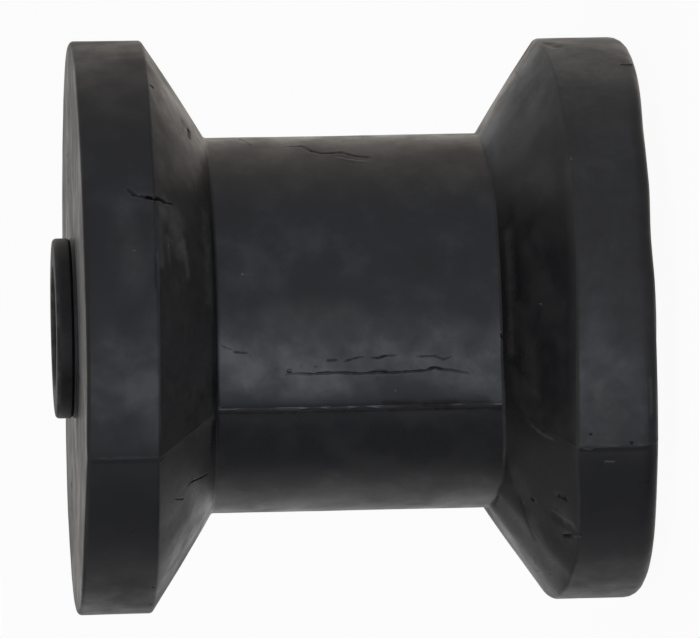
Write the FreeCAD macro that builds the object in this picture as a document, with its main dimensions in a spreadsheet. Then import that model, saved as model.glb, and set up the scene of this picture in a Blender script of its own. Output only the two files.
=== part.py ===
import FreeCAD, Part
import math
import os
import Sketcher

# Boat trailer roller: a moulded rubber spool that a keel runs in, with a flanged bush pressed into
# each end. The roller stands on its lower end. Z is the spindle's axis, and the origin is on that
# axis, half way between the two end faces of the rubber.

# Driving dimensions, in millimetres and degrees

SIZES = [
    ("hub_diameter", 65.6, "hub, measured across the two halves of the mould"),
    ("hub_length", 47.9, "between the feet of the two flanks"),
    ("flank_length", 10.8, "of each sloping flank, measured along the axis"),
    ("upper_rim_diameter", 100.2, "upper flange, measured across the halves"),
    ("upper_rim_width", 12.4, "of the straight rim"),
    ("lower_rim_diameter", 98.3, "lower flange, a little smaller than the upper one"),
    ("lower_rim_width", 15.2, "of the straight rim"),
    ("upper_edge_radius", 0.8, "between the upper end face and its rim"),
    ("lower_edge_radius", 3.0, "between the lower end face and its rim"),
    ("shoulder_radius", 0.8, "between each rim and its flank"),
    ("waist_radius", 0.8, "in the corner between flank and hub"),
    ("crease_offset", 0.6, "how far each half's own axis lies behind the parting plane"),
    ("parting_angle", 64.0, "of the parting plane, turned about Z from the XZ plane"),
    ("flash_height", 0.4, "of the bead of flash, measured from the axis outwards"),
    ("flash_width", 0.5, "across the parting plane"),
    ("boss_height", 0.6, "of the low ring that the bush's flange seats on"),
    ("bore_diameter", 21.0, "for a 20 mm spindle"),
    ("bush_wall", 2.0, "between the spindle's bore and the rubber"),
    ("bush_clearance", 0.05, "between bush and rubber, at the radius"),
    ("bush_depth", 22.0, "how far the bush reaches into the rubber"),
    ("flange_diameter", 31.5, "of the bush's flange and of the boss under it"),
    ("flange_thickness", 3.0, "of the bush's flange"),
    ("flange_edge_radius", 0.7, "on the flange's outer edge"),
    ("flange_relief", 0.4, "chamfer under the flange, which shows as a dark line"),
    ("mouth_chamfer", 0.6, "where the spindle goes in"),
    ("lead_chamfer", 1.0, "on the end of the bush that is pressed in first"),
]

# Heights along the axis, as expressions of the sheet

LENGTH = (
    "(sizes.hub_length + 2 * sizes.flank_length"
    " + sizes.upper_rim_width + sizes.lower_rim_width)"
)
UPPER_END = f"({LENGTH} / 2)"
UPPER_SHOULDER = f"({UPPER_END} - sizes.upper_rim_width)"
UPPER_WAIST = f"({UPPER_SHOULDER} - sizes.flank_length)"
LOWER_END = f"(-{LENGTH} / 2)"
LOWER_SHOULDER = f"({LOWER_END} + sizes.lower_rim_width)"
LOWER_WAIST = f"({LOWER_SHOULDER} + sizes.flank_length)"
BUSH_SEAT = f"({LENGTH} / 2 + sizes.boss_height)"
BUSH_RADIUS = "(sizes.bore_diameter / 2 + sizes.bush_wall)"

PARTS_FOLDER = "parts"
UPRIGHT = FreeCAD.Vector(0, 0, 1)
SIDEWAYS = FreeCAD.Vector(1, 0, 0)


def make_sheet(doc):
    """Keep every driving dimension in one sheet, with its name and a note beside it."""
    sheet = doc.addObject("Spreadsheet::Sheet", "sizes")
    for row, (name, value, note) in enumerate(SIZES, start=1):
        sheet.set(f"A{row}", name)
        sheet.set(f"B{row}", str(value))
        sheet.setAlias(f"B{row}", name)
        sheet.set(f"C{row}", note)
    doc.recompute()


def origin_plane(body, role):
    """One of the body's own origin planes."""
    for feature in body.Origin.OriginFeatures:
        if feature.Role == role:
            return feature
    raise ValueError(role)


def add_sketch(body, name, depth=None):
    """A sketch on the body's upright XZ plane, or lying the given depth behind it."""
    sketch = body.newObject("Sketcher::SketchObject", name)
    sketch.AttachmentSupport = [(origin_plane(body, "XZ_Plane"), "")]
    sketch.MapMode = "FlatFace"
    if depth:
        sketch.setExpression("AttachmentOffset.Base.z", depth)
    return sketch


def rounding(before, corner, after, radius):
    """Tangent points, centre and turning sense of an arc that rounds one corner."""
    to_before = (before - corner).normalize()
    to_after = (after - corner).normalize()
    half_angle = to_before.getAngle(to_after) / 2
    reach = radius / math.tan(half_angle)
    centre = corner + (to_before + to_after).normalize() * (radius / math.sin(half_angle))
    turns_left = to_before.cross(to_after).z < 0
    return corner + to_before * reach, corner + to_after * reach, centre, turns_left


def arc_between(start, end, centre, radius):
    """The arc that runs anticlockwise from start to end."""
    first = math.atan2(start.y - centre.y, start.x - centre.x)
    last = math.atan2(end.y - centre.y, end.x - centre.x)
    circle = Part.Circle(centre, UPRIGHT, radius)
    return Part.ArcOfCircle(circle, first, last)


def bind_place(sketch, geometry, point, name, along, up):
    """Hold one point of the sketch at the place that two expressions give."""
    for kind, suffix, text in (("DistanceX", "along", along), ("DistanceY", "up", up)):
        if text == "0":
            axis = -2 if kind == "DistanceX" else -1
            sketch.addConstraint(Sketcher.Constraint("PointOnObject", geometry, point, axis))
            continue
        value = float(sketch.evalExpression(text))
        index = sketch.addConstraint(
            Sketcher.Constraint(kind, -1, 1, geometry, point, value)
        )
        sketch.renameConstraint(index, f"{name}_{suffix}")
        sketch.setExpression(f"Constraints.{name}_{suffix}", text)


def draw_outline(sketch, corners):
    """Draw a closed outline through its corners and round those that have a radius.

    A corner is its name, its two coordinates and its radius or None, all as expressions. The
    corners go round anticlockwise. A rounded corner stays in the sketch as a point where its two
    lines would meet, and carries the dimensions.
    """
    count = len(corners)
    places = []
    for name, along, up, radius in corners:
        along_value = float(sketch.evalExpression(along))
        up_value = float(sketch.evalExpression(up))
        places.append(FreeCAD.Vector(along_value, up_value, 0))
    rounds = {}
    for index, (name, along, up, radius) in enumerate(corners):
        if radius:
            value = float(sketch.evalExpression(radius))
            before = places[index - 1]
            after = places[(index + 1) % count]
            rounds[index] = rounding(before, places[index], after, value) + (value,)

    lines = []
    for index in range(count):
        following = (index + 1) % count
        start = rounds[index][1] if index in rounds else places[index]
        end = rounds[following][0] if following in rounds else places[following]
        lines.append(sketch.addGeometry(Part.LineSegment(start, end), False))

    for index, (name, along, up, radius) in enumerate(corners):
        line_in = lines[index - 1]
        line_out = lines[index]
        if index not in rounds:
            sketch.addConstraint(Sketcher.Constraint("Coincident", line_in, 2, line_out, 1))
            bind_place(sketch, line_out, 1, name, along, up)
            continue
        arrive, leave, centre, turns_left, value = rounds[index]
        first, last = (arrive, leave) if turns_left else (leave, arrive)
        arc = sketch.addGeometry(arc_between(first, last, centre, value), False)
        arc_in, arc_out = (1, 2) if turns_left else (2, 1)
        sketch.addConstraint(Sketcher.Constraint("Tangent", line_in, 2, arc, arc_in))
        sketch.addConstraint(Sketcher.Constraint("Tangent", line_out, 1, arc, arc_out))
        radius_index = sketch.addConstraint(Sketcher.Constraint("Radius", arc, value))
        sketch.renameConstraint(radius_index, f"{name}_radius")
        sketch.setExpression(f"Constraints.{name}_radius", radius)
        meeting = sketch.addGeometry(Part.Point(places[index]), True)
        for line in (line_in, line_out):
            sketch.addConstraint(Sketcher.Constraint("PointOnObject", meeting, 1, line))
        bind_place(sketch, meeting, 1, name, along, up)


# The rubber

def spool_corners(growth):
    """The spool's side, from the lower end face up, with the given growth of its radii."""
    lower_rim = f"(sizes.lower_rim_diameter / 2 + {growth})"
    upper_rim = f"(sizes.upper_rim_diameter / 2 + {growth})"
    hub = f"(sizes.hub_diameter / 2 + {growth})"
    return [
        ("lower_end", lower_rim, LOWER_END, "sizes.lower_edge_radius"),
        ("lower_shoulder", lower_rim, LOWER_SHOULDER, "sizes.shoulder_radius"),
        ("lower_waist", hub, LOWER_WAIST, "sizes.waist_radius"),
        ("upper_waist", hub, UPPER_WAIST, "sizes.waist_radius"),
        ("upper_shoulder", upper_rim, UPPER_SHOULDER, "sizes.shoulder_radius"),
        ("upper_end", upper_rim, UPPER_END, "sizes.upper_edge_radius"),
    ]


def mould_half(body):
    """One half of the spool: turned about an axis behind the parting plane, cut off at it."""
    sketch = add_sketch(body, "spool_section", "sizes.crease_offset")
    side = spool_corners("sizes.crease_offset")
    draw_outline(
        sketch,
        [("axis_low", "0", LOWER_END, None)] + side + [("axis_high", "0", UPPER_END, None)],
    )
    turned = body.newObject("PartDesign::Revolution", "turned_spool")
    turned.Profile = sketch
    turned.ReferenceAxis = (sketch, ["V_Axis"])
    turned.Angle = 360.0
    body.Document.recompute()
    whole = turned.Shape.Volume

    reach = "(sizes.upper_rim_diameter + sizes.lower_rim_diameter)"
    outline = [
        ("far_low", f"-{reach}", f"-{reach} - {LENGTH}", None),
        ("near_low", reach, f"-{reach} - {LENGTH}", None),
        ("near_high", reach, f"{reach} + {LENGTH}", None),
        ("far_high", f"-{reach}", f"{reach} + {LENGTH}", None),
    ]
    trim = add_sketch(body, "parting_plane")
    draw_outline(trim, outline)
    half = body.newObject("PartDesign::Pocket", "one_half")
    half.Profile = trim
    half.Type = "ThroughAll"
    half.Reversed = True
    body.Document.recompute()
    share = half.Shape.Volume / whole
    if not 0.4 < share < 0.5:
        raise ValueError(f"the parting cut left {share:.3f} of the spool")
    return half


def make_roller(doc):
    """The moulded rubber spool, with its two creased halves, its flash, bosses and bore."""
    body = doc.addObject("PartDesign::Body", "rubber_roller")
    mould_half(body)

    other_half = body.newObject("PartDesign::Mirrored", "other_half")
    other_half.TransformMode = "Whole shape"
    other_half.MirrorPlane = (origin_plane(body, "XZ_Plane"), [""])
    body.Tip = other_half
    doc.recompute()

    flash_sketch = add_sketch(body, "flash_outline")
    near_side = spool_corners("sizes.crease_offset + sizes.flash_height")
    far_side = []
    for name, along, up, radius in reversed(near_side):
        far_side.append((f"far_{name}", f"-{along}", up, radius))
    draw_outline(flash_sketch, near_side + far_side)
    flash = body.newObject("PartDesign::Pad", "flash")
    flash.Profile = flash_sketch
    flash.SideType = "Symmetric"
    flash.setExpression("Length", "sizes.flash_width")

    bosses = body.newObject("PartDesign::AdditiveCylinder", "bosses")
    bosses.AttachmentSupport = [(origin_plane(body, "XY_Plane"), "")]
    bosses.MapMode = "FlatFace"
    bosses.setExpression("Radius", "sizes.flange_diameter / 2")
    bosses.setExpression("Height", f"2 * {BUSH_SEAT}")
    bosses.setExpression("AttachmentOffset.Base.z", f"-{BUSH_SEAT}")

    bore = body.newObject("PartDesign::SubtractiveCylinder", "bush_bore")
    bore.AttachmentSupport = [(origin_plane(body, "XY_Plane"), "")]
    bore.MapMode = "FlatFace"
    bore.setExpression("Radius", f"{BUSH_RADIUS} + sizes.bush_clearance")
    bore.setExpression("Height", f"2 * {BUSH_SEAT}")
    bore.setExpression("AttachmentOffset.Base.z", f"-{BUSH_SEAT}")

    angle = float(body.evalExpression("sizes.parting_angle"))
    body.Placement.Rotation = FreeCAD.Rotation(UPRIGHT, angle)
    body.setExpression("Placement.Rotation.Angle", "sizes.parting_angle")
    return body


# The bushes

def make_bush(doc, name, tip_over):
    """A flanged bush, turned in one piece, with its flange seated on the boss."""
    body = doc.addObject("PartDesign::Body", name)
    sketch = add_sketch(body, f"{name}_section")
    bore = "(sizes.bore_diameter / 2)"
    flange = "(sizes.flange_diameter / 2)"
    face = f"({BUSH_SEAT} + sizes.flange_thickness)"
    foot = f"({UPPER_END} - sizes.bush_depth)"
    draw_outline(
        sketch,
        [
            ("bore_foot", bore, foot, None),
            ("lead_foot", f"{BUSH_RADIUS} - sizes.lead_chamfer / 2", foot, None),
            ("lead_top", BUSH_RADIUS, f"{foot} + sizes.lead_chamfer", None),
            ("seat", BUSH_RADIUS, BUSH_SEAT, None),
            ("relief_in", f"{flange} - sizes.flange_relief", BUSH_SEAT, None),
            ("relief_out", flange, f"{BUSH_SEAT} + sizes.flange_relief", None),
            ("flange_edge", flange, face, "sizes.flange_edge_radius"),
            ("mouth_out", f"{bore} + sizes.mouth_chamfer", face, None),
            ("mouth_in", bore, f"{face} - sizes.mouth_chamfer", None),
        ],
    )
    turned = body.newObject("PartDesign::Revolution", f"{name}_turned")
    turned.Profile = sketch
    turned.ReferenceAxis = (sketch, ["V_Axis"])
    turned.Angle = 360.0
    if tip_over:
        body.Placement.Rotation = FreeCAD.Rotation(SIDEWAYS, 180)
    return body


def check(doc, bodies):
    """Stop on any failed object, and on a piece whose shape isn't one valid solid."""
    for item in doc.Objects:
        if "Invalid" in item.State or "Error" in item.State:
            raise ValueError(f"{item.Label}: {item.State}")
    for body in bodies:
        shape = body.Shape
        if shape.isNull() or not shape.isValid() or len(shape.Solids) != 1:
            raise ValueError(f"{body.Label} isn't one valid solid")


def main():
    doc = FreeCAD.newDocument("roller")
    make_sheet(doc)
    bodies = [
        make_roller(doc),
        make_bush(doc, "upper_bush", False),
        make_bush(doc, "lower_bush", True),
    ]
    doc.recompute()
    check(doc, bodies)
    os.makedirs(PARTS_FOLDER, exist_ok=True)
    for body in bodies:
        box = body.Shape.BoundBox
        print(
            f"{body.Label}: {body.Shape.Volume / 1000:.1f} cm3,"
            f" x {box.XMin:.2f} to {box.XMax:.2f},"
            f" y {box.YMin:.2f} to {box.YMax:.2f},"
            f" z {box.ZMin:.2f} to {box.ZMax:.2f}"
        )
        body.Shape.exportStep(os.path.join(PARTS_FOLDER, f"{body.Label}.step"))


main()
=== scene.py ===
# %% [markdown]
# # A boat trailer's keel roller
#
# This lesson dresses one moulded rubber roller that a boat's keel runs on while the boat is drawn
# onto its trailer. The model of its construction comes as a fixed frame, already at its real size.
# Here the rubber gets the surface that years of keels have left on it, the bushes get their turned
# finish, and both get light, a floor and a camera.

import math
from collections import namedtuple
from itertools import pairwise

import bmesh
import bpy
from mathutils import Matrix, Vector, noise
from mathutils.bvhtree import BVHTree
from mathutils.kdtree import KDTree


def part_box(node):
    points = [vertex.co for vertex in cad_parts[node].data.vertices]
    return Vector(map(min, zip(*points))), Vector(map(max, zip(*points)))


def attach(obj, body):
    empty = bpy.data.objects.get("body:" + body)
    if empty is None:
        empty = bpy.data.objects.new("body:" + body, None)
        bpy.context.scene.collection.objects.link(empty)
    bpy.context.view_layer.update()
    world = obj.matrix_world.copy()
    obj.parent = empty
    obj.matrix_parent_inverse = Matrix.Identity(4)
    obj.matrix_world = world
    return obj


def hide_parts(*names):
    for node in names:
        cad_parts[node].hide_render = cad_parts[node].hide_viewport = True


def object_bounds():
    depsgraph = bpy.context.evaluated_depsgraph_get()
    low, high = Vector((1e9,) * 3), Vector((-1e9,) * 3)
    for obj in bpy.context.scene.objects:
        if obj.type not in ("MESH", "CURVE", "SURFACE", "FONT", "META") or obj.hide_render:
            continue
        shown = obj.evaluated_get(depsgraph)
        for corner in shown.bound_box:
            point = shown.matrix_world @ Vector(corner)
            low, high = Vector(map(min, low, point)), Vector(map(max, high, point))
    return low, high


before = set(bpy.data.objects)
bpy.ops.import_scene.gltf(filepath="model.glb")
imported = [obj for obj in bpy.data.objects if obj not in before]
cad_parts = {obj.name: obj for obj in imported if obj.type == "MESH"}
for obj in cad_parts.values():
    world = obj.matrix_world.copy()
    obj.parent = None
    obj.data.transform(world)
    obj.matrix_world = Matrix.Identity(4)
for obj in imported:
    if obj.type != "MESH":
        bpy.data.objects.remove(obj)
cad_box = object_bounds()
MM = 0.001
TINY = 0.001 * MM


def in_mm(corner):
    """A corner in millimetres, for reading."""
    return [round(value / MM, 2) for value in corner]


print("The frame reaches from", in_mm(cad_box[0]), "to", in_mm(cad_box[1]), "mm")

# %% [markdown]
# ## The camera
#
# The camera comes first, because the scars on the rubber are placed by looking through it. The
# roller stands on its end, and the picture shows it lying, so the camera is rolled by a quarter
# turn. It stands far off with a long lens, a few degrees above the level of the hub, which is why
# the upper end face is only a sliver.

# %% Place the camera
PHOTO_WIDTH = 700
PHOTO_HEIGHT = 638
SENSOR_WIDTH = 36.0
FOCAL_LENGTH = 411.4
VIEW_DISTANCE = 1402.6 * MM
VIEW_ELEVATION = math.radians(4.18)
VIEW_ROLL = math.radians(-91.15)
VIEW_TARGET = Vector((0.64, 0.0, 0.17)) * MM

view_turn = Matrix.Rotation(math.pi / 2 - VIEW_ELEVATION, 3, "X") @ Matrix.Rotation(VIEW_ROLL, 3, "Z")
view_back = view_turn @ Vector((0, 0, 1))
view_place = VIEW_TARGET + view_back * VIEW_DISTANCE

camera_data = bpy.data.cameras.new("long_lens")
camera_data.sensor_width = SENSOR_WIDTH
camera_data.lens = FOCAL_LENGTH
camera = bpy.data.objects.new("camera", camera_data)
camera.matrix_world = Matrix.Translation(view_place) @ view_turn.to_4x4()
bpy.context.scene.collection.objects.link(camera)
bpy.context.scene.camera = camera


def sight(pixel):
    """The direction in which the camera sees one pixel of the picture."""
    scale = SENSOR_WIDTH / FOCAL_LENGTH / PHOTO_WIDTH
    right = (pixel[0] - PHOTO_WIDTH / 2) * scale
    up = (PHOTO_HEIGHT / 2 - pixel[1]) * scale
    return (view_turn @ Vector((right, up, -1))).normalized()


print("The camera stands at", in_mm(view_place), "mm")

# %% [markdown]
# ## The rubber's section
#
# The roller was moulded in one piece: a hub, two sloping flanks and two broad rims. Half of its
# section is a chain of straight lines, so it is written down as corners, each with its radius, its
# height and its rounding. The ends come from the frame, and the rest are the real roller's sizes.

# %% Draw the section
RUBBER_LOW, RUBBER_HIGH = (corner.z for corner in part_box("rubber_roller"))
BUSH_LOW, BUSH_HIGH = (corner.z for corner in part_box("upper_bush"))
FLANGE_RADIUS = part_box("upper_bush")[1].x
BOSS_HEIGHT = 0.6 * MM
END = RUBBER_HIGH - BOSS_HEIGHT
HUB_RADIUS = 32.8 * MM
UPPER_RIM_RADIUS = 50.1 * MM
LOWER_RIM_RADIUS = 49.15 * MM
UPPER_RIM_WIDTH = 12.4 * MM
LOWER_RIM_WIDTH = 15.2 * MM
FLANK_LENGTH = 10.8 * MM
UPPER_SHOULDER = END - UPPER_RIM_WIDTH
LOWER_SHOULDER = -END + LOWER_RIM_WIDTH
UPPER_WAIST = UPPER_SHOULDER - FLANK_LENGTH
LOWER_WAIST = LOWER_SHOULDER + FLANK_LENGTH
BUSH_RADIUS = 12.5 * MM
BUSH_CLEARANCE = 0.05 * MM
BUSH_HOLE_RADIUS = BUSH_RADIUS + BUSH_CLEARANCE
BORE_ROUNDING = 0.3 * MM
BOSS_ROUNDING = 0.2 * MM
RIM_ROUNDING = 0.8 * MM
WORN_RIM_ROUNDING = 3.0 * MM

SPOOL_CORNERS = [
    (BUSH_HOLE_RADIUS, RUBBER_LOW, BORE_ROUNDING),
    (FLANGE_RADIUS, RUBBER_LOW, BOSS_ROUNDING),
    (FLANGE_RADIUS, -END, BOSS_ROUNDING),
    (LOWER_RIM_RADIUS, -END, WORN_RIM_ROUNDING),
    (LOWER_RIM_RADIUS, LOWER_SHOULDER, RIM_ROUNDING),
    (HUB_RADIUS, LOWER_WAIST, RIM_ROUNDING),
    (HUB_RADIUS, UPPER_WAIST, RIM_ROUNDING),
    (UPPER_RIM_RADIUS, UPPER_SHOULDER, RIM_ROUNDING),
    (UPPER_RIM_RADIUS, END, RIM_ROUNDING),
    (FLANGE_RADIUS, END, BOSS_ROUNDING),
    (FLANGE_RADIUS, RUBBER_HIGH, BOSS_ROUNDING),
    (BUSH_HOLE_RADIUS, RUBBER_HIGH, BORE_ROUNDING),
]
print("The section has", len(SPOOL_CORNERS), "corners")

# %% [markdown]
# ## The rubber's turned form
#
# The section starts as one vertex for each corner. Bevel rounds the corners, subdivide gives the
# long lines enough points to bend, and one full spin makes the body. Making it by stacking
# cylinders and cones would leave no way to round the corners.

# %% Turn the section
ARC_SEGMENTS = 5
SPOOL_STEPS = 216
SPOOL_EDGE = 2.2 * MM


def round_corner(mesh, corner, radius):
    """Turn one vertex of a chain of edges into an arc."""
    before, after = (edge.other_vert(corner).co - corner.co for edge in corner.link_edges)
    reach = radius / math.tan(before.angle(after) / 2)
    bmesh.ops.bevel(
        mesh, geom=[corner], offset=reach, offset_type="OFFSET", segments=ARC_SEGMENTS,
        profile=0.5, affect="VERTICES", material=-1,
    )


def turned(corners, steps, longest):
    """A closed section turned about Z. Its innermost line is a plain bore and stays undivided."""
    mesh = bmesh.new()
    chain = [mesh.verts.new((radius, 0, height)) for radius, height, rounding in corners]
    for index, corner in enumerate(chain):
        mesh.edges.new((chain[index - 1], corner))
    for corner, (radius, height, rounding) in zip(chain, corners):
        round_corner(mesh, corner, rounding)
    bore_radius = min(radius for radius, height, rounding in corners)
    for edge in mesh.edges[:]:
        in_bore = max(corner.co.x for corner in edge.verts) < bore_radius + TINY
        cuts = 0 if in_bore else int(edge.calc_length() / longest)
        if cuts:
            bmesh.ops.subdivide_edges(mesh, edges=[edge], cuts=cuts)
    bmesh.ops.spin(
        mesh, geom=mesh.verts[:] + mesh.edges[:], cent=(0, 0, 0), axis=(0, 0, 1),
        angle=math.tau, steps=steps, use_merge=True,
    )
    bmesh.ops.recalc_face_normals(mesh, faces=mesh.faces)
    return mesh


spool = turned(SPOOL_CORNERS, SPOOL_STEPS, SPOOL_EDGE)
print("The turned spool has", len(spool.faces), "faces")

# %% [markdown]
# ## The parting line
#
# The mould had two halves. Where they met, the rubber has a thin bead of flash along the whole
# length, once on each side. The bead needs edges of its own, so two cuts run beside the plane in
# which the halves met. Each vertex keeps two numbers for later: the radius of the turned form
# there, and whether it is on the crest of the bead. Subdivide passes them on to new vertices.

# %% Cut the edges of the bead of flash
PARTING_ANGLE = math.radians(64.0)
FLASH_WIDTH = 0.5 * MM

across_parting = Vector((0, 1, 0))
for side in (-1, 1):
    bmesh.ops.bisect_plane(
        spool,
        geom=spool.verts[:] + spool.edges[:] + spool.faces[:],
        plane_co=across_parting * side * FLASH_WIDTH / 2,
        plane_no=across_parting,
    )
design_radius = spool.verts.layers.float.new("design_radius")
crest = spool.verts.layers.float.new("crest")
for vert in spool.verts:
    vert[design_radius] = vert.co.xy.length
    vert[crest] = float(abs(vert.co.y) < TINY)
bmesh.ops.rotate(spool, verts=spool.verts, matrix=Matrix.Rotation(PARTING_ANGLE, 3, "Z"))
across_parting.rotate(Matrix.Rotation(PARTING_ANGLE, 3, "Z"))
print("With the cuts for the flash it has", len(spool.faces), "faces")

# %% [markdown]
# ## The leaning rims
#
# A keel that has rested on one side of the roller for years pushes the flanges apart there, and old
# rubber keeps that set. In the picture the outer face of the lower rim leans out at the bottom and
# a little at the top, with a shallow hollow in front. Only the height of a vertex changes, and not
# near the bush, which still sits square in its seat.

# %% Lean the outer faces
LOWER_LEAN = 1.3 * MM
UPPER_LEAN = 0.5 * MM
TOP_LEAN = 0.45 * MM
FRONT_HOLLOW = 0.37 * MM
TOP_SIDE = (31 * MM, 41 * MM)
HOLLOW_START = (4 * MM, 14 * MM)
HOLLOW_END = (14 * MM, 23 * MM)


def between(value, low, high):
    """How far a value is from low to high, as a smooth share from 0 to 1."""
    share = min(max((value - low) / (high - low), 0.0), 1.0)
    return share * share * (3 - 2 * share)


for vert in spool.verts:
    out = between(vert[design_radius], FLANGE_RADIUS, LOWER_RIM_RADIUS)
    worn_side = between(-vert.co.x, 0, LOWER_RIM_RADIUS)
    lower = between(-vert.co.z, -LOWER_SHOULDER, END)
    upper = between(vert.co.z, UPPER_SHOULDER, END)
    in_front = between(vert.co.x, *HOLLOW_START) * (1 - between(vert.co.x, *HOLLOW_END))
    in_front *= between(-vert.co.y, 0, HUB_RADIUS)
    top_lean = between(vert.co.x, *TOP_SIDE) * TOP_LEAN
    lower_lean = worn_side * LOWER_LEAN + top_lean - in_front * FRONT_HOLLOW
    vert.co.z += out * (upper * worn_side * UPPER_LEAN - lower * lower_lean)
print("The lower rim leans out by up to", LOWER_LEAN / MM, "mm")

# %% [markdown]
# ## The worn flank
#
# Keels have also rubbed the lower flank back, by up to three millimetres on the camera's side. The
# wear is given for some bearings, which count in degrees round the roller from that side, positive
# towards the top of the picture, and it changes smoothly from one to the next.

# %% Rub the lower flank back
Wear = namedtuple("Wear", "bearing waist shoulder")
FLANK_WEAR = [
    Wear(-115, 0.0, 0.0), Wear(-80, 0.6, 1.6), Wear(-66, 1.5, 2.3), Wear(-55, 2.1, 2.9),
    Wear(-42, 1.8, 2.3), Wear(-28, 1.4, 1.6), Wear(-10, 1.0, 1.4), Wear(15, 0.9, 1.8),
    Wear(30, 0.8, 1.7), Wear(48, 0.5, 1.2), Wear(80, 0.0, 0.0),
]


def blend(start, end, share):
    """The value that lies a share of the way from start to end."""
    return start + (end - start) * share


def rubbed_back(vert):
    """How far the lower flank is rubbed back at a vertex, from the waist to the shoulder."""
    bearing = math.degrees(math.atan2(vert.co.x, -vert.co.y))
    for before, after in pairwise(FLANK_WEAR):
        if before.bearing <= bearing < after.bearing:
            share = between(bearing, before.bearing, after.bearing)
            waist = blend(before.waist, after.waist, share)
            shoulder = blend(before.shoulder, after.shoulder, share)
            outwards = between(vert[design_radius], HUB_RADIUS, LOWER_RIM_RADIUS)
            return blend(waist, shoulder, outwards) * MM
    return 0.0


for vert in spool.verts:
    on_flank = between(-vert.co.z, 0, -LOWER_WAIST) * between(vert.co.z, -END, LOWER_SHOULDER)
    vert.co.z -= on_flank * rubbed_back(vert)
print("The lower flank is rubbed back by up to", max(max(w.waist, w.shoulder) for w in FLANK_WEAR), "mm")

# %% [markdown]
# ## The scars
#
# Gravel, keel bolts and winter storage have cut, torn and chipped the rubber. Each scar is drawn as
# a few points in the picture, with its kind, because a cut and a tear move the rubber in different
# ways, and with its width and depth in millimetres. A scuff or a stain has no depth, so there the
# number says how strong it is.

# %% Draw the scars in the picture
Scar = namedtuple("Scar", "kind width depth pixels")

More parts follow.
